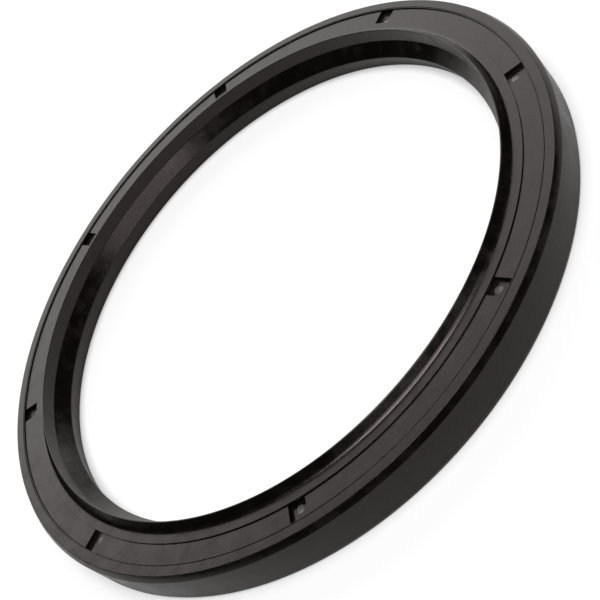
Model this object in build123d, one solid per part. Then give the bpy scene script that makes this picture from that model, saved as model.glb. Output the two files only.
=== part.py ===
from build123d import *
from math import ceil, tan
import os

# Radial shaft seal with a moulded rubber skin, a main sealing lip and a dust lip.
# Millimetres. The axis is Z. The back rim, on the oil side, stands on Z = 0, and
# the marked front face looks up, along +Z. A pocket lies on +X. Rounded edges of the
# section are drawn in flats, because a fine fillet is costly on so long a ring.

# ---- Nominal size ---------------------------------------------------------
shaft_diameter = 130.0
outside_diameter = 155.0
seal_width = 10.0

# ---- Rubber skin round the case -------------------------------------------
outer_skin = 1.0            # rubber on the outside of the case wall
face_skin = 1.4             # rubber over the flange, on the front
inner_skin = 0.7            # rubber under the flange, on the oil side
heel_skin = 0.6             # rubber under the rim of the case wall

# ---- Steel case -----------------------------------------------------------
case_thickness = 1.0
case_inner_bend = 0.5
flange_edge_rubber = 1.5    # from the foot of the dust lip to the flange's edge

# ---- Outside edges --------------------------------------------------------
front_bevel_width = 0.85
front_bevel_height = 1.4
back_bevel_width = 0.35
back_bevel_height = 1.0

# ---- Front face: shallow band with a pocket at each mould pin ---------------
band_border = 3.3           # plain face between the outside and the band
band_width = 4.4
band_depth = 0.3
pocket_count = 8
pocket_width = 4.1
pocket_film = 0.15          # rubber left over the case on the pocket floor
pin_mark_diameter = 1.9     # bare steel where the mould pin stood
pin_mark_inset = 0.7        # from the middle of the band towards the axis

# ---- Dust lip -------------------------------------------------------------
dust_lip_clearance = 0.7    # radial, off the shaft
dust_lip_rise = 1.75        # above the front face
dust_lip_tip = 0.35
dust_lip_foot = 2.25        # radial width of the lip where it meets the face
dust_lip_fillet = 1.15
dust_lip_root_depth = 1.9   # from the front face down to the root of both lips
root_fillet = 0.4

# ---- Sealing lip ----------------------------------------------------------
lip_interference = 1.8      # radial, before the shaft opens the lip
lip_edge_height = 4.5       # middle of the contact land above the back rim
lip_land = 0.3
nose_setback = 0.3          # nose end above the back rim
nose_opening = 1.2          # how far the nose flares out from the contact land
nose_width = 1.7
flex_thickness = 1.4
flex_fillet = 0.6

# ---- Garter spring --------------------------------------------------------
spring_coil_diameter = 2.6
spring_clearance = 0.05     # radial, between the coil and its groove
groove_wall = 0.8           # rubber between the groove and the lip's air side
groove_rise = 0.2           # spring centre above the contact land
groove_cover = 0.95         # back wall of the nose beyond the spring centre

# ---- Flats of rounded edges -------------------------------------------------
fillet_flat = 0.6           # longest flat of a fillet in the moulding, along the arc
bend_flat = 2.4             # longest flat of a bend in the case
coil_sides = 8              # flats round the coil's section, and round its groove

# ---- Worked out from the sizes above --------------------------------------
outside_radius = outside_diameter / 2
shaft_radius = shaft_diameter / 2
face_level = seal_width

case_radius = outside_radius - outer_skin
case_inner_radius = case_radius - case_thickness
flange_top = face_level - face_skin
flange_bottom = flange_top - case_thickness

band_outer_radius = outside_radius - band_border
band_inner_radius = band_outer_radius - band_width
band_middle_radius = (band_outer_radius + band_inner_radius) / 2
pin_mark_radius = band_middle_radius - pin_mark_inset

dust_lip_radius = shaft_radius + dust_lip_clearance
dust_lip_foot_radius = dust_lip_radius + dust_lip_foot
flange_edge_radius = dust_lip_foot_radius + flange_edge_rubber
root_level = face_level - dust_lip_root_depth

lip_radius = shaft_radius - lip_interference
land_top = lip_edge_height + lip_land / 2
land_bottom = lip_edge_height - lip_land / 2
nose_radius = lip_radius + nose_opening

groove_radius = spring_coil_diameter / 2 + spring_clearance
spring_level = lip_edge_height + groove_rise


def air_side_slope():
    """Run and rise of the sealing lip's air side, as a unit vector."""
    flank = Vector(dust_lip_radius - lip_radius, root_level - land_top)
    return flank.normalized()


def beyond_air_side(distance, level):
    """Radius at a level, on the line that lies a distance behind the lip's air side."""
    slope = air_side_slope()
    start = Vector(lip_radius, land_top) + Vector(slope.Y, -slope.X) * distance
    return start.X + (level - start.Y) * slope.X / slope.Y


def spring_radius():
    """Radius of the circle on which the garter spring lies."""
    return beyond_air_side(groove_wall + groove_radius, spring_level)


def turned(section):
    """Turn a section, drawn as radius and height, once round the axis."""
    return revolve(Plane.XZ * section, Axis.Z, 360)


def flat_ends(edge, longest):
    """Points along an edge but for its end: one for a line, and for an arc one for each flat."""
    count = ceil(edge.length / longest) if edge.geom_type == GeomType.CIRCLE else 1
    return [edge @ (step / count) for step in range(count)]


def outline(corners, longest):
    """Closed section through corners of radius, height and fillet, each fillet drawn in flats."""
    points = [(radius, height) for radius, height, _ in corners]
    fillets = [fillet for _, _, fillet in corners]
    rounded = FilletPolyline(*points, radius=fillets, close=True)
    places = [place for edge in rounded.edges() for place in flat_ends(edge, longest)]
    return make_face(Polyline(*places, close=True).edges())


def moulding_section():
    """Section of the finished moulding, with the case still counted as part of it."""
    bend_level = flange_bottom - inner_skin
    head_radius = spring_radius() + groove_cover
    tip_level = face_level + dust_lip_rise
    return outline([
        # back rim and outside
        (case_inner_radius, 0, 0),
        (outside_radius - back_bevel_width, 0, 0),
        (outside_radius, back_bevel_height, 0),
        (outside_radius, face_level - front_bevel_height, 0),
        (outside_radius - front_bevel_width, face_level, 0),
        # front face with its band
        (band_outer_radius, face_level, 0),
        (band_outer_radius, face_level - band_depth, 0),
        (band_inner_radius, face_level - band_depth, 0),
        (band_inner_radius, face_level, 0),
        # dust lip
        (dust_lip_foot_radius - dust_lip_fillet / 2, face_level, dust_lip_fillet),
        (dust_lip_radius + dust_lip_tip, tip_level, 0),
        (dust_lip_radius, tip_level, 0),
        (dust_lip_radius, root_level, root_fillet),
        # contact land and nose of the sealing lip
        (lip_radius, land_top, 0),
        (lip_radius, land_bottom, 0),
        (nose_radius, nose_setback, 0),
        (nose_radius + nose_width, nose_setback, 0),
        # back of the head, flexing part and underside of the flange; the groove,
        # cut out later, opens this back wall from the spring centre upwards
        (head_radius, spring_level, 0),
        (beyond_air_side(flex_thickness, spring_level), spring_level, 0),
        (beyond_air_side(flex_thickness, bend_level), bend_level, flex_fillet),
        (case_inner_radius, bend_level, 0),
    ], fillet_flat)


def case_section():
    """Section of the pressed steel case: a wall with a flange turned inwards."""
    outer_bend = case_inner_bend + case_thickness
    return outline([
        (case_inner_radius, heel_skin, 0),
        (case_radius, heel_skin, 0),
        (case_radius, flange_top, outer_bend),
        (flange_edge_radius, flange_top, 0),
        (flange_edge_radius, flange_bottom, 0),
        (case_inner_radius, flange_bottom, case_inner_bend),
    ], bend_flat)


def pocket_cutter():
    """Keystone block and pin for one pocket on +X."""
    floor = flange_top + pocket_film
    half_angle = pocket_width / 2 / band_middle_radius
    reach = outside_radius * 2
    ring = Circle(band_outer_radius) - Circle(band_inner_radius)
    wedge = make_face(Polyline(
        (0, 0), (reach, -reach * tan(half_angle)), (reach, reach * tan(half_angle)), close=True
    ).edges())
    keystone = extrude(Pos(0, 0, floor) * (ring & wedge), face_skin)
    pin = Pos(pin_mark_radius, 0, flange_top) * Cylinder(
        pin_mark_diameter / 2, face_skin, align=(Align.CENTER, Align.CENTER, Align.MIN)
    )
    return keystone + pin


def make_case_ring():
    return turned(case_section())


def make_garter_spring():
    coil = RegularPolygon(spring_coil_diameter / 2, coil_sides)
    return turned(Pos(spring_radius(), spring_level) * coil)


def make_rubber_body():
    groove = RegularPolygon(groove_radius, coil_sides, major_radius=False, rotation=180 / coil_sides)
    groove = Pos(spring_radius(), spring_level) * groove
    body = turned(moulding_section() - groove - case_section())
    pocket = pocket_cutter()
    for place in PolarLocations(0, pocket_count):
        body -= place * pocket
    return body


parts = {
    "rubber_body": make_rubber_body(),
    "case_ring": make_case_ring(),
    "garter_spring": make_garter_spring(),
}

os.makedirs("parts", exist_ok=True)
for name, shape in parts.items():
    export_step(shape, f"parts/{name}.step")
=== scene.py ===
"""Radial shaft seal: rubber moulding, coiled garter spring, steel case and the studio they lie in."""

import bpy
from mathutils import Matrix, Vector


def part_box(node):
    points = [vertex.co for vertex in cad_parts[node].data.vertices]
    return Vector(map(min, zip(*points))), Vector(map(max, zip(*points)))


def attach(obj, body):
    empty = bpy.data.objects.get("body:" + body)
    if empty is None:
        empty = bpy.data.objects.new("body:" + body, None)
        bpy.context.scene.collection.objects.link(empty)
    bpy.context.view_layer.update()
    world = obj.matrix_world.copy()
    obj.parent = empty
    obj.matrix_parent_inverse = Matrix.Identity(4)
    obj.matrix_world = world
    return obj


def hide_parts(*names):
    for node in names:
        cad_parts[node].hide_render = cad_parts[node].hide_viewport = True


bl_info = {
    "name": "Radial Shaft Seal",
    "version": (1, 0, 0),
    "blender": (4, 5, 0),
    "location": "View3D > Sidebar > Shaft Seal",
    "description": "Models the skin and spring of a shaft seal round its solid frame and lights it",
    "category": "Object",
}

from math import acos, atan2, cos, pi, radians, sin, sqrt, tan, tau

import bpy
from bpy.props import FloatProperty, FloatVectorProperty, IntProperty, PointerProperty
from mathutils import Quaternion, Vector

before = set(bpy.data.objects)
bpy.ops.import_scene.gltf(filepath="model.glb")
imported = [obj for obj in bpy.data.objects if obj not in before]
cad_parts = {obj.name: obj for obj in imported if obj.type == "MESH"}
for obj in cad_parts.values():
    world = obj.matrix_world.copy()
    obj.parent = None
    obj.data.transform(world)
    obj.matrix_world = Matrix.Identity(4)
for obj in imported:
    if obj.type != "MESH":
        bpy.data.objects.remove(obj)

MM = 0.001
ROOT = "root"

_, RUBBER_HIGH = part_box("rubber_body")
CASE_LOW, CASE_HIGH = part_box("case_ring")
SPRING_LOW, SPRING_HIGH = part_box("garter_spring")
COIL_DIAMETER = SPRING_HIGH.z - SPRING_LOW.z
# Middle of the spring's section, as radius and height.
COIL_CENTRE = Vector((SPRING_HIGH.x - COIL_DIAMETER / 2, (SPRING_HIGH.z + SPRING_LOW.z) / 2))

CORNER_SHARE = 0.49  # most of a side that the rounding of one corner may take
ARC_STEP = radians(14)  # turn of one step of a rounded corner
SMOOTH_ANGLE = radians(32)  # edges that bend less than this are shaded smooth
MERGE_DISTANCE = 0.001 * MM
GROOVE_STEPS = 28
POCKET_STEPS = 6
PIN_SIDES = 48
COIL_STEPS = 14  # points in one turn of the spring's wire
FLOOR_SIDES = 256
FADE_BEGIN, FADE_END = 0.25, 0.75  # shares of the floor's radius over which it melts into the backdrop
LIGHT_DISTANCE = 0.9  # metres from the seal to each softbox

# Softboxes: setting of the brightness, width, height, turn from the camera's side, and elevation.
SOFTBOXES = {
    "overhead_softbox": ("overhead_light", 0.5, 0.5, 0, radians(82)),
    "near_softbox": ("near_light", 0.75, 0.28, radians(12), radians(51)),
    "far_softbox": ("far_light", 1.3, 0.85, radians(168), radians(28)),
}


# ---- Settings -------------------------------------------------------------------------------


def length(name, description, default):
    """A length in metres, shown in the scene's unit."""
    return FloatProperty(
        name=name, description=description, default=default, unit="LENGTH", subtype="DISTANCE", precision=5
    )


def colour(name, description, default):
    """A plain colour, without alpha."""
    return FloatVectorProperty(
        name=name, description=description, default=default, size=3, min=0.0, max=1.0, subtype="COLOR"
    )


class SealSizes(bpy.types.PropertyGroup):
    """Sizes of the moulding and its spring; those that the frame holds are read from it."""

    outside_radius: length("Outside radius", "Radius of the rubber over the case wall", RUBBER_HIGH.x)
    lip_top: length("Dust lip top", "Height of the dust lip's rim above the floor", RUBBER_HIGH.z)
    face_level: length("Face level", "Height of the flat front face", 10 * MM)
    case_radius: length("Case radius", "Outside radius of the steel case", CASE_HIGH.x)
    case_thickness: length("Case thickness", "Thickness of the steel case", 1 * MM)
    case_inner_bend: length("Case bend", "Inside radius of the case's bend", 0.5 * MM)
    heel_level: length("Heel rubber", "Rubber under the rim of the case wall", CASE_LOW.z)
    flange_top: length("Flange top", "Height of the top of the case's flange", CASE_HIGH.z)
    flange_edge_radius: length("Flange edge", "Radius of the flange's inner edge", 69.45 * MM)
    inner_skin: length("Inner skin", "Rubber under the flange", 0.7 * MM)
    case_overlap: length("Case overlap", "Reach of the skin into the steel it is bonded to", 0.02 * MM)
    edge_round: length("Edge rounding", "Rounding of the moulding's crisp edges", 0.12 * MM)
    front_bevel_width: length("Front bevel width", "Radial width of the front bevel", 0.85 * MM)
    front_bevel_height: length("Front bevel height", "Height of the front bevel", 1.4 * MM)
    back_bevel_width: length("Back bevel width", "Radial width of the back bevel", 0.35 * MM)
    back_bevel_height: length("Back bevel height", "Height of the back bevel", 1.0 * MM)
    band_border: length("Band border", "Plain face outside the sunk band", 3.3 * MM)
    flat_strip: length("Flat strip", "Quite flat face inside the band, before the lip's fillet", 1.2 * MM)
    band_width: length("Band width", "Radial width of the sunk band", 4.4 * MM)
    band_depth: length("Band depth", "Depth of the sunk band", 0.3 * MM)
    band_line: length("Band line", "Depth of the fine line at the band's outer edge", 0.12 * MM)
    rim_line: length("Rim line", "Width and depth of the fine slot just outside the band", 0.17 * MM)
    pocket_width: length("Pocket width", "Width of a mould pocket, round the ring", 4.1 * MM)
    pocket_film: length("Pocket film", "Rubber left over the case on a pocket's floor", 0.15 * MM)
    pin_mark_diameter: length("Pin mark", "Bare steel where a mould pin stood", 1.9 * MM)
    pin_mark_inset: length("Pin mark inset", "From the band's middle towards the axis", 0.7 * MM)
    dust_lip_radius: length("Dust lip radius", "Inner radius of the dust lip", 65.7 * MM)
    dust_lip_tip: length("Dust lip tip", "Width of the dust lip's rim", 0.35 * MM)
    dust_lip_round: length("Dust lip rounding", "Rounding of the rim's two corners", 0.1575 * MM)
    dust_lip_foot: length("Dust lip foot", "Width of the dust lip where it meets the face", 2.25 * MM)
    dust_lip_fillet: length("Dust lip fillet", "Fillet between the face and the dust lip", 1.15 * MM)
    root_level: length("Lip root", "Height where the two lips meet", 8.1 * MM)
    root_fillet: length("Root fillet", "Fillet between the two lips", 0.4 * MM)
    lip_radius: length("Sealing lip radius", "Free radius of the sealing edge", 63.2 * MM)
    lip_edge_height: length("Sealing edge height", "Height of the middle of the sealing edge", 4.5 * MM)
    lip_land: length("Sealing edge width", "Width of the sealing edge", 0.3 * MM)
    nose_setback: length("Nose setback", "Height of the nose's end above the floor", 0.3 * MM)
    nose_opening: length("Nose opening", "How far the nose flares from the sealing edge", 1.2 * MM)
    nose_width: length("Nose width", "Width of the nose's end", 1.7 * MM)
    nose_fillet: length("Nose fillet", "Rounding of the nose's corners", 0.35 * MM)
    nose_back: length("Nose back", "Straight back of the nose, below the groove", 0.4 * MM)
    flex_thickness: length("Flex thickness", "Thickness of the lip's flexing part", 1.4 * MM)
    flex_fillet: length("Flex fillet", "Fillet where the lip leaves the flange", 0.6 * MM)
    groove_clearance: length("Groove clearance", "Room between the coil and its groove", 0.05 * MM)
    groove_cover: length("Groove cover", "Reach of the nose behind the coil's middle", 0.95 * MM)
    wire_diameter: length("Wire diameter", "Diameter of the garter spring's wire", 0.6 * MM)
    pocket_count: IntProperty(name="Pockets", description="Mould pockets round the face", default=8, min=1)
    ring_steps: IntProperty(name="Ring steps", description="Steps of the moulding's full turn", default=360)


class SealFinish(bpy.types.PropertyGroup):
    """Colours and gloss of the rubber and the two steels."""

    rubber: colour("Rubber", "Main colour of the rubber", (0.0034, 0.0024, 0.0021))
    rubber_bloom: colour("Rubber bloom", "Greyer rubber under dust and wax bloom", (0.0085, 0.0068, 0.0062))
    rubber_roughness: FloatProperty(
        name="Rubber roughness", description="Mean roughness of the rubber", default=0.22, min=0.0, max=1.0,
        subtype="FACTOR",
    )
    rubber_sheen: colour("Rubber sheen", "Warm tint of the rubber's reflections", (1.0, 0.88, 0.85))
    case_steel: colour("Case steel", "Colour of the coated case", (0.23, 0.22, 0.215))
    spring_steel: colour("Spring steel", "Colour of the spring wire", (0.46, 0.45, 0.43))


class StudioSetup(bpy.types.PropertyGroup):
    """Floor, lights and camera."""

    floor: colour("Floor", "Colour of the floor", (0.6, 0.6, 0.6))
    floor_radius: length("Floor radius", "Radius of the round floor", 1.0)
    floor_gap: length("Floor gap", "Gap between the floor and the seal", 0.02 * MM)
    floor_glow: FloatProperty(
        name="Floor glow", description="Light that the floor sends to the camera", default=0.46, min=0.0
    )
    backdrop: FloatProperty(name="Backdrop", description="Brightness of the backdrop", default=1.0, min=0.0)
    overhead_light: FloatProperty(
        name="Overhead light", description="Brightness of the overhead softbox", default=7.0, min=0.0
    )
    near_light: FloatProperty(
        name="Near light", description="Brightness of the softbox above the camera", default=3.2, min=0.0
    )
    far_light: FloatProperty(
        name="Far light", description="Brightness of the softbox beyond the seal", default=1.4, min=0.0
    )
    room_glow: FloatProperty(
        name="Room glow", description="Brightness of the room round the lights", default=0.01, min=0.0
    )
    camera_azimuth: FloatProperty(
        name="Camera azimuth", description="Compass angle of the camera from +X", default=radians(-110.94),
        subtype="ANGLE", unit="ROTATION",
    )
    camera_elevation: FloatProperty(
        name="Camera elevation", description="Angle of the camera above the floor", default=radians(37.34),
        subtype="ANGLE", unit="ROTATION",
    )
    camera_roll: FloatProperty(
        name="Camera roll", description="Turn of the camera about its own view line", default=radians(-49.04),
        subtype="ANGLE", unit="ROTATION",
    )
    camera_distance: length("Camera distance", "Distance from the camera to its target", 242.43 * MM)
    camera_target: FloatVectorProperty(
        name="Camera target", description="Point that the camera looks at",
        default=(-6.50 * MM, -17.18 * MM, 5.0 * MM), size=3, subtype="XYZ", unit="LENGTH",
    )
    camera_lens: FloatProperty(
        name="Camera lens", description="Focal length on a 36 mm wide sensor", default=65.94,
        subtype="DISTANCE_CAMERA",
    )


# ---- Section of the moulding ----------------------------------------------------------------


def arc(centre, radius, start, end, steps):
    """Points on an arc from one angle to another, both ends included."""
    angles = [start + (end - start) * step / steps for step in range(steps + 1)]
    return [centre + Vector((cos(angle), sin(angle))) * radius for angle in angles]


def rounded(before, corner, after, radius):
    """The corner replaced by an arc that touches both of its sides."""
    into = (before - corner).normalized()
    out = (after - corner).normalized()
    half = into.angle(out) / 2
    room = CORNER_SHARE * min((before - corner).length, (after - corner).length)
    radius = min(radius, room * tan(half))
    if radius <= 0:
        return [corner]
    centre = corner + (into + out).normalized() * (radius / sin(half))
    first = corner + into * (radius / tan(half)) - centre
    last = corner + out * (radius / tan(half)) - centre
    start = atan2(first.y, first.x)
    turn = atan2(first.cross(last), first.dot(last))
    steps = max(2, round(abs(turn) / ARC_STEP))
    return arc(centre, radius, start, start + turn, steps)


def rounded_outline(corners):
    """Closed outline through corners of radius, height and rounding."""
    places = [Vector((radius, height)) for radius, height, _ in corners]
    points = []
    for index, corner in enumerate(places):
        after = places[(index + 1) % len(places)]
        points += rounded(places[index - 1], corner, after, corners[index][2])
    return points


def beyond_air_side(size, distance, level):
    """Radius at a level, on the line that lies a distance behind the sealing lip's air side."""
    edge = Vector((size.lip_radius, size.lip_edge_height + size.lip_land / 2))
    slope = (Vector((size.dust_lip_radius, size.root_level)) - edge).normalized()
    start = edge + Vector((slope.y, -slope.x)) * distance
    return start.x + (level - start.y) * slope.x / slope.y


def groove_points(size):
    """The groove's wall, from the back of the nose round under the coil to the flexing part."""
    radius = COIL_DIAMETER / 2 + size.groove_clearance
    start = -acos(size.groove_cover / radius)
    flex = beyond_air_side(size, size.flex_thickness, COIL_CENTRE.y) - COIL_CENTRE.x
    lean = (beyond_air_side(size, size.flex_thickness, COIL_CENTRE.y + MM) - COIL_CENTRE.x - flex) / MM
    rise = (-flex * lean + sqrt(radius**2 * (1 + lean**2) - flex**2)) / (1 + lean**2)
    end = atan2(rise, flex + lean * rise) - tau
    return arc(COIL_CENTRE, radius, start, end, GROOVE_STEPS)


def moulding_outline(size):
    """Section of the rubber: outside, face, both lips, groove and the bond with the case."""
    edge = size.edge_round
    soft, fine = edge * 2, edge / 3
    face = size.face_level
    inside = size.case_radius - size.case_thickness
    flange_bottom = size.flange_top - size.case_thickness
    underside = flange_bottom - size.inner_skin
    bevel = size.outside_radius - size.front_bevel_width
    band_outer = size.outside_radius - size.band_border
    band_inner = band_outer - size.band_width
    slot_inner, slot_outer = band_outer + size.rim_line, band_outer + size.rim_line * 2
    foot = size.dust_lip_radius + size.dust_lip_foot - size.dust_lip_fillet / 2
    nose = size.lip_radius + size.nose_opening
    head = COIL_CENTRE.x + size.groove_cover
    groove = groove_points(size)
    bond = size.case_overlap
    # Points on the face beside the roundings keep its shading flat there.
    front = rounded_outline([
        (inside + bond, size.heel_level, 0),
        (inside + bond, 0, edge),
        (size.outside_radius - size.back_bevel_width, 0, edge),
        (size.outside_radius, size.back_bevel_height, soft),
        (size.outside_radius, face - size.front_bevel_height, soft),
        (bevel, face, edge),
        (bevel - soft, face, 0),
        (slot_outer + edge, face, 0),
        (slot_outer, face, fine),
        (slot_outer, face - size.rim_line, 0),
        (slot_inner, face - size.rim_line, 0),
        (slot_inner, face, fine),
        (band_outer, face, fine),
        (band_outer, face - size.band_depth - size.band_line, 0),
        (band_outer - size.band_line, face - size.band_depth, 0),
        (band_inner, face - size.band_depth, 0),
        (band_inner, face, fine),
        (band_inner - edge, face, 0),
        (band_inner - size.flat_strip, face, 0),
        (foot, face, size.dust_lip_fillet),
        (size.dust_lip_radius + size.dust_lip_tip, size.lip_top, size.dust_lip_round),
        (size.dust_lip_radius, size.lip_top, size.dust_lip_round),
        (size.dust_lip_radius, size.root_level, size.root_fillet),
        (size.lip_radius, size.lip_edge_height + size.lip_land / 2, fine),
        (size.lip_radius, size.lip_edge_height - size.lip_land / 2, fine),
        (nose, size.nose_setback, size.nose_fillet),
        (nose + size.nose_width, size.nose_setback, size.nose_fillet),
        (head, groove[0].y - size.nose_back, edge),
        (head, groove[0].y, 0),
    ])
    back = rounded_outline([
        (groove[-1].x, groove[-1].y, 0),
        (beyond_air_side(size, size.flex_thickness, underside), underside, size.flex_fillet),
        (inside + bond, underside, 0),
        (inside + bond, flange_bottom + bond, size.case_inner_bend),
        (size.flange_edge_radius + bond, flange_bottom + bond, 0),
        (size.flange_edge_radius + bond, size.flange_top - bond, 0),
        (size.case_radius - bond, size.flange_top - bond, size.case_inner_bend + size.case_thickness),
        (size.case_radius - bond, size.heel_level + bond, 0),
    ])
    return front + groove[1:-1] + back


# ---- Modelling helpers ----------------------------------------------------------------------


def outline_object(name, points):
    """A closed loop of edges through points of radius and height, in the XZ plane."""
    bpy.ops.object.select_all(action="DESELECT")
    bpy.ops.mesh.primitive_circle_add(vertices=len(points), fill_type="NOTHING")
    ring = bpy.context.object
    ring.name = name
    ring.data.name = name
    for vertex, point in zip(ring.data.vertices, points):
        vertex.co = (point[0], 0, point[1])
    return ring


def spin(angle, steps):
    """Spin the whole of the active mesh about the upright axis and close it."""
    bpy.ops.object.mode_set(mode="EDIT")
    bpy.ops.mesh.select_all(action="SELECT")
    bpy.ops.mesh.spin(
        steps=steps, angle=angle, center=(0, 0, 0), axis=(0, 0, 1), use_auto_merge=True, use_normal_flip=False
    )
    bpy.ops.mesh.select_all(action="SELECT")
    bpy.ops.mesh.remove_doubles(threshold=MERGE_DISTANCE)
    bpy.ops.mesh.normals_make_consistent(inside=False)
    bpy.ops.object.mode_set(mode="OBJECT")


def cut(piece, cutter):
    """Take the cutter's volume out of the piece, and delete the cutter."""
    bpy.ops.object.select_all(action="DESELECT")
    piece.select_set(True)
    bpy.context.view_layer.objects.active = piece
    boolean = piece.modifiers.new("Cut", "BOOLEAN")
    boolean.operation = "DIFFERENCE"
    boolean.solver = "EXACT"
    boolean.object = cutter
    bpy.ops.object.modifier_apply(modifier=boolean.name)
    bpy.data.objects.remove(cutter)


def place(piece, node):
    """Let the finished piece ride on the frame in place of its node."""
    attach(piece, ROOT)
    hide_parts(node)


def finish_with(piece, material):
    """Give the whole piece one material."""
    piece.data.materials.clear()
    piece.data.materials.append(material)


def toward(azimuth, elevation):
    """Unit vector toward a compass angle and a height above the floor."""
    return Vector((cos(azimuth) * cos(elevation), sin(azimuth) * cos(elevation), sin(elevation)))


# ---- Materials ------------------------------------------------------------------------------


class Shader:
    """A new material with its principled shader, and short calls that add nodes to it."""

    def __init__(self, name, **constants):
        self.material = bpy.data.materials.new(name)
        self.material.use_nodes = True
        self.tree = self.material.node_tree
        self.surface = self.tree.nodes["Principled BSDF"]
        for socket, value in constants.items():
            self.surface.inputs[socket.replace("_", " ")].default_value = value
        self.coordinates = self.tree.nodes.new("ShaderNodeTexCoord").outputs["Object"]

    def add(self, kind, inputs, **settings):
        """Add a node; inputs are values or sockets by name or number."""
        made = self.tree.nodes.new(kind)
        for setting, value in settings.items():
            setattr(made, setting, value)
        for key, value in inputs.items():
            if isinstance(value, bpy.types.NodeSocket):
                self.tree.links.new(value, made.inputs[key])
            else:
                made.inputs[key].default_value = value
        return made

    def noise(self, size, detail=2.0, roughness=0.5, vector=None):
        """Soft noise whose features are about a size across, in metres."""
        inputs = {"Vector": vector or self.coordinates, "Scale": 1 / size}
        inputs |= {"Detail": detail, "Roughness": roughness}
        return self.add("ShaderNodeTexNoise", inputs).outputs["Fac"]

    def spread(self, value, low, high, to_low=0.0, to_high=1.0):
        """Stretch a value from one range to another, and hold it there."""
        inputs = {"Value": value, 1: low, 2: high, 3: to_low, 4: to_high}
        return self.add("ShaderNodeMapRange", inputs, interpolation_type="SMOOTHSTEP").outputs["Result"]

    def blend(self, factor, first, second):
        """Mix two colours."""
        inputs = {0: factor, 6: (*first, 1), 7: (*second, 1)}
        return self.add("ShaderNodeMix", inputs, data_type="RGBA").outputs[2]

    def maths(self, operation, first, second):
        """Two values added, multiplied or otherwise joined."""
        return self.add("ShaderNodeMath", {0: first, 1: second}, operation=operation).outputs[0]

    def reach(self, vector):
        """Distance of a place from the origin."""
        return self.add("ShaderNodeVectorMath", {0: vector}, operation="LENGTH").outputs["Value"]

    def around(self):
        """Coordinates of radius and height alone, which draw rings like those left by a lathe."""
        flat = self.add("ShaderNodeVectorMath", {0: self.coordinates, 1: (1, 1, 0)}, operation="MULTIPLY")
        radius = self.reach(flat.outputs["Vector"])
        height = self.add("ShaderNodeSeparateXYZ", {0: self.coordinates}).outputs["Z"]
        return self.add("ShaderNodeCombineXYZ", {0: radius, 1: height}).outputs["Vector"]

    def wear(self, low, high):
        """One on worn edges, nought on flats and in corners."""
        point = self.add("ShaderNodeNewGeometry", {}).outputs["Pointiness"]
        return self.spread(point, low, high)

    def bump(self, height, distance, strength=1.0, under=None):
        """Bump from a height, over an earlier bump if one is given."""
        inputs = {"Height": height, "Distance": distance, "Strength": strength}
        if under:
            inputs["Normal"] = under
        return self.add("ShaderNodeBump", inputs).outputs["Normal"]

    def join(self, **sockets):
        """Connect values to the principled shader."""
        for socket, value in sockets.items():
            self.tree.links.new(value, self.surface.inputs[socket.replace("_", " ")])
        return self.material


def rubber_material(finish):
    """Black moulded rubber: satin, finely grained, with faint mould rings, bloom and rubbed edges."""
    shader = Shader("moulded_rubber", IOR=1.52, Specular_Tint=(*finish.rubber_sheen, 1))
    grain = shader.noise(0.16 * MM, detail=3, roughness=0.6)
    rings = shader.noise(0.35 * MM, detail=3, vector=shader.around())
    peel = shader.noise(0.8 * MM, detail=3, roughness=0.6)
    mottle = shader.noise(5 * MM, detail=5, roughness=0.62)
    patches = shader.noise(22 * MM, detail=3)
    specks = shader.spread(shader.noise(0.45 * MM, detail=1), 0.71, 0.76)
    bloom = shader.maths("MULTIPLY", shader.spread(mottle, 0.42, 0.68), shader.spread(patches, 0.35, 0.7))
    rubbed = shader.maths("MULTIPLY", shader.wear(0.52, 0.60), shader.spread(mottle, 0.35, 0.6))
    dusted = shader.maths("MAXIMUM", bloom, shader.maths("MULTIPLY", specks, 0.5))
    base = shader.blend(shader.maths("MAXIMUM", dusted, rubbed), finish.rubber, finish.rubber_bloom)
    middle = finish.rubber_roughness
    uneven = shader.maths("ADD", mottle, shader.maths("MULTIPLY", grain, 0.3))
    rough = shader.spread(uneven, 0.45, 0.85, middle - 0.06, middle + 0.10)
    fine = shader.bump(grain, 0.015 * MM, 0.6)
    turned = shader.bump(rings, 0.008 * MM, 0.35, fine)
    return shader.join(Base_Color=base, Roughness=rough, Normal=shader.bump(peel, 0.03 * MM, 0.5, turned))


def case_material(finish):
    """Pressed steel under a grey bonding coat, with turned lines and dull patches."""
    shader = Shader("coated_case_steel", Metallic=0.85)
    patches = shader.noise(3 * MM, detail=4)
    lines = shader.noise(0.12 * MM, detail=2, vector=shader.around())
    grain = shader.noise(0.1 * MM, detail=2)
    darker = [channel * 0.55 for channel in finish.case_steel]
    base = shader.blend(shader.spread(patches, 0.35, 0.65), finish.case_steel, darker)
    rough = shader.spread(shader.maths("ADD", patches, grain), 0.7, 1.3, 0.38, 0.58)
    normal = shader.bump(lines, 0.004 * MM, 0.4, shader.bump(grain, 0.004 * MM, 0.4))
    return shader.join(Base_Color=base, Roughness=rough, Normal=normal)


def spring_material(finish):
    """Drawn spring wire: bright, with fine draw marks and darker oil stains."""
    shader = Shader("spring_wire", Metallic=1.0)
    stains = shader.noise(2.5 * MM, detail=3)
    marks = shader.noise(0.08 * MM, detail=2)
    darker = [channel * 0.45 for channel in finish.spring_steel]
    base = shader.blend(shader.spread(stains, 0.45, 0.7), finish.spring_steel, darker)
    rough = shader.spread(shader.maths("ADD", stains, marks), 0.7, 1.3, 0.22, 0.42)
    return shader.join(Base_Color=base, Roughness=rough, Normal=shader.bump(marks, 0.003 * MM, 0.4))


# ---- Operators: one for each piece, and the studio ------------------------------------------


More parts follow.
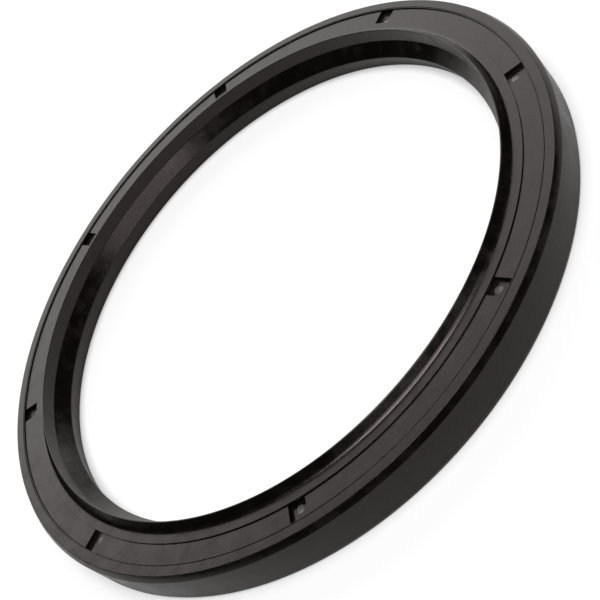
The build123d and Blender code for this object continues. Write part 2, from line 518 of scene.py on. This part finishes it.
class SEAL_OT_rubber_body(bpy.types.Operator):
    """Spin the rubber moulding with both lips, and cut its mould pockets"""

    bl_idname = "seal.rubber_body"
    bl_label = "Rubber Body"

    def pocket_block(self, size):
        """The keystone of rubber missing from one pocket, beside +X, and half of its angle."""
        outer = size.outside_radius - size.band_border
        inner = outer - size.band_width
        low, high = size.flange_top + size.pocket_film, size.lip_top
        block = outline_object("pocket_block", [(inner, low), (outer, low), (outer, high), (inner, high)])
        bpy.ops.object.mode_set(mode="EDIT")
        bpy.ops.mesh.select_all(action="SELECT")
        bpy.ops.mesh.edge_face_add()
        bpy.ops.object.mode_set(mode="OBJECT")
        angle = size.pocket_width / ((outer + inner) / 2)
        spin(angle, POCKET_STEPS)
        return block, angle / 2

    def pin(self, size, turn):
        """The mould pin that stood on the case in the pocket at a turn round the ring."""
        reach = size.outside_radius - size.band_border - size.band_width / 2 - size.pin_mark_inset
        low, high = size.flange_top - size.case_overlap * 2, size.lip_top
        bpy.ops.object.select_all(action="DESELECT")
        bpy.ops.mesh.primitive_cylinder_add(
            vertices=PIN_SIDES, radius=size.pin_mark_diameter / 2, depth=high - low,
            location=(reach * cos(turn), reach * sin(turn), (low + high) / 2),
        )
        return bpy.context.object

    def execute(self, context):
        size = context.scene.seal_sizes
        body = outline_object("rubber_moulding", moulding_outline(size))
        spin(tau, size.ring_steps)
        for index in range(size.pocket_count):
            turn = tau * index / size.pocket_count
            block, half_turn = self.pocket_block(size)
            block.rotation_euler.z = turn + half_turn
            cut(body, block)
            cut(body, self.pin(size, turn))
        bpy.ops.object.shade_smooth_by_angle(angle=SMOOTH_ANGLE)
        finish_with(body, rubber_material(context.scene.seal_finish))
        place(body, "rubber_body")
        return {"FINISHED"}


class SEAL_OT_garter_spring(bpy.types.Operator):
    """Wind the garter spring as a closed coil of wire in its groove"""

    bl_idname = "seal.garter_spring"
    bl_label = "Garter Spring"

    def execute(self, context):
        size = context.scene.seal_sizes
        wind = (COIL_DIAMETER - size.wire_diameter) / 2
        turns = int(tau * (COIL_CENTRE.x - wind) / size.wire_diameter)
        bpy.ops.object.select_all(action="DESELECT")
        bpy.ops.object.add(type="CURVE")
        coil = bpy.context.object
        coil.name = "garter_coil"
        curve = coil.data
        curve.name = "garter_coil"
        curve.dimensions = "3D"
        curve.bevel_depth = size.wire_diameter / 2
        curve.bevel_resolution = 1
        line = curve.splines.new("POLY")
        line.points.add(turns * COIL_STEPS - 1)
        line.use_cyclic_u = True
        for index, point in enumerate(line.points):
            around = tau * index / (turns * COIL_STEPS)
            angle = tau * index / COIL_STEPS
            radius = COIL_CENTRE.x + wind * cos(angle)
            point.co = (radius * cos(around), radius * sin(around), COIL_CENTRE.y + wind * sin(angle), 1)
        bpy.ops.object.convert(target="MESH")
        bpy.ops.object.shade_smooth()
        finish_with(coil, spring_material(context.scene.seal_finish))
        place(coil, "garter_spring")
        return {"FINISHED"}


class SEAL_OT_case_ring(bpy.types.Operator):
    """Finish the steel case, which shows inside the back and at the pin marks"""

    bl_idname = "seal.case_ring"
    bl_label = "Case Ring"

    def execute(self, context):
        finish_with(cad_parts["case_ring"], case_material(context.scene.seal_finish))
        return {"FINISHED"}


class SEAL_OT_studio(bpy.types.Operator):
    """Lay the floor, hang the lights and set up the camera"""

    bl_idname = "seal.studio"
    bl_label = "Studio"

    def floor(self, studio):
        """A wide floor that glows for the camera alone, and melts into the backdrop far off."""
        bpy.ops.object.select_all(action="DESELECT")
        bpy.ops.mesh.primitive_circle_add(
            vertices=FLOOR_SIDES, radius=studio.floor_radius, fill_type="NGON",
            location=(0, 0, -studio.floor_gap),
        )
        floor = bpy.context.object
        floor.name = "floor"
        shader = Shader("floor", Roughness=0.9, Base_Color=(*studio.floor, 1), Emission_Color=(1, 1, 1, 1))
        rays = shader.add("ShaderNodeLightPath", {}).outputs["Is Camera Ray"]
        away = shader.reach(shader.coordinates)
        begin, end = studio.floor_radius * FADE_BEGIN, studio.floor_radius * FADE_END
        glow = shader.spread(away, begin, end, studio.floor_glow, studio.backdrop)
        finish_with(floor, shader.join(Emission_Strength=shader.maths("MULTIPLY", rays, glow)))

    def softbox(self, name, brightness, width, height, azimuth, elevation):
        """A flat soft light at a place in the sky, which faces the seal."""
        away = toward(azimuth, elevation)
        bpy.ops.object.light_add(type="AREA", location=away * LIGHT_DISTANCE)
        light = bpy.context.object
        light.name = name
        light.data.shape = "RECTANGLE"
        light.data.size = width
        light.data.size_y = height
        light.data.energy = brightness * pi * width * height
        light.rotation_euler = (-away).to_track_quat("-Z", "Y").to_euler()

    def room(self, scene, studio):
        """Dim surroundings, with a pale backdrop for the camera alone."""
        world = bpy.data.worlds.new("room")
        scene.world = world
        world.use_nodes = True
        tree = world.node_tree
        dim = tree.nodes["Background"]
        dim.inputs["Color"].default_value = (1, 1, 1, 1)
        dim.inputs["Strength"].default_value = studio.room_glow
        pale = tree.nodes.new("ShaderNodeBackground")
        pale.inputs["Strength"].default_value = studio.backdrop
        pale.inputs["Color"].default_value = (1, 1, 1, 1)
        rays = tree.nodes.new("ShaderNodeLightPath")
        choose = tree.nodes.new("ShaderNodeMixShader")
        tree.links.new(rays.outputs["Is Camera Ray"], choose.inputs[0])
        tree.links.new(dim.outputs[0], choose.inputs[1])
        tree.links.new(pale.outputs[0], choose.inputs[2])
        tree.links.new(choose.outputs[0], tree.nodes["World Output"].inputs["Surface"])

    def camera(self, scene, studio):
        """A camera that looks down on the ring and is rolled on its side."""
        back = toward(studio.camera_azimuth, studio.camera_elevation)
        bpy.ops.object.camera_add(location=Vector(studio.camera_target) + back * studio.camera_distance)
        camera = bpy.context.object
        camera.rotation_mode = "QUATERNION"
        roll = Quaternion((0, 0, 1), studio.camera_roll)
        camera.rotation_quaternion = (-back).to_track_quat("-Z", "Y") @ roll
        camera.data.sensor_width = 36
        camera.data.lens = studio.camera_lens
        camera.data.clip_start = 0.01
        scene.camera = camera

    def execute(self, context):
        scene = context.scene
        studio = scene.seal_studio
        scene.view_settings.view_transform = "Standard"
        self.floor(studio)
        for name, (setting, width, height, turn, elevation) in SOFTBOXES.items():
            brightness = getattr(studio, setting)
            self.softbox(name, brightness, width, height, studio.camera_azimuth + turn, elevation)
        self.room(scene, studio)
        self.camera(scene, studio)
        return {"FINISHED"}


class SEAL_PT_panel(bpy.types.Panel):
    """Buttons for each step, with the sizes and finishes they use"""

    bl_idname = "SEAL_PT_panel"
    bl_label = "Shaft Seal"
    bl_space_type = "VIEW_3D"
    bl_region_type = "UI"
    bl_category = "Shaft Seal"

    def draw(self, context):
        layout = self.layout
        for operator in OPERATORS:
            layout.operator(operator.bl_idname)
        for group, settings in SETTINGS.items():
            box = layout.box()
            for name in settings.__annotations__:
                box.prop(getattr(context.scene, group), name)


# ---- Registration and run -------------------------------------------------------------------

SETTINGS = {"seal_sizes": SealSizes, "seal_finish": SealFinish, "seal_studio": StudioSetup}
OPERATORS = (SEAL_OT_rubber_body, SEAL_OT_garter_spring, SEAL_OT_case_ring, SEAL_OT_studio)


def register():
    for kind in (*SETTINGS.values(), *OPERATORS, SEAL_PT_panel):
        bpy.utils.register_class(kind)
    for group, settings in SETTINGS.items():
        setattr(bpy.types.Scene, group, PointerProperty(type=settings))


def unregister():
    for group in SETTINGS:
        delattr(bpy.types.Scene, group)
    for kind in (SEAL_PT_panel, *reversed(OPERATORS), *SETTINGS.values()):
        bpy.utils.unregister_class(kind)


def main():
    """Register everything and run each step."""
    register()
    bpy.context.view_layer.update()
    bpy.ops.seal.rubber_body()
    bpy.ops.seal.garter_spring()
    bpy.ops.seal.case_ring()
    bpy.ops.seal.studio()


if __name__ == "__main__":
    main()
